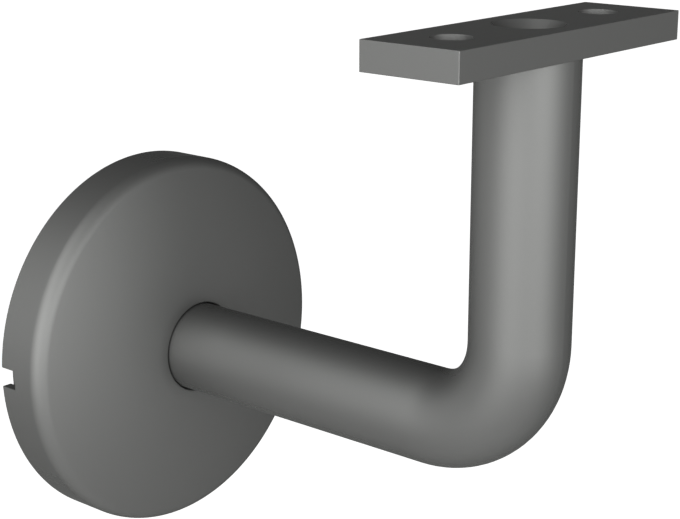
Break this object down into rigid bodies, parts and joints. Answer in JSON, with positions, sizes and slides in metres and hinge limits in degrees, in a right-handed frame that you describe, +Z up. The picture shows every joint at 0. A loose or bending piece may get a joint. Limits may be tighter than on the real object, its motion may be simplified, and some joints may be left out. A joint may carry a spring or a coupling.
{
  "type": "handrail bracket",
  "caption": "Wall bracket for a handrail: a bent round bar with a flat saddle plate on top and a round wall flange under a loose domed cover.",
  "frame": {"origin": "on the bar's axis where it meets the wall, in the plane of the flange's back face", "axes": "+X along the wall, +Y into the wall (the bar stands out along -Y), +Z up"},
  "size_m": [0.06, 0.0815, 0.087],
  "materials": {
    "bracket_coat": "dark grey metallic powder coat, satin",
    "weld_coat": "dark grey metallic powder coat over weld metal",
    "cover_coat": "dark grey metallic powder coat, satin"
  },
  "bodies": {
    "bracket": {"wall_flange": "bracket_coat", "flange_weld": "weld_coat", "arm": "bracket_coat", "saddle_plate": "bracket_coat", "plug_weld": "weld_coat"},
    "cover": {"cover_rosette": "cover_coat"}
  },
  "joints": [
    {"name": "cover_slide", "type": "slide", "parent": "bracket", "child": "cover", "axis": [0, -1, 0], "range_m": [0, 0.045]}
  ]
}
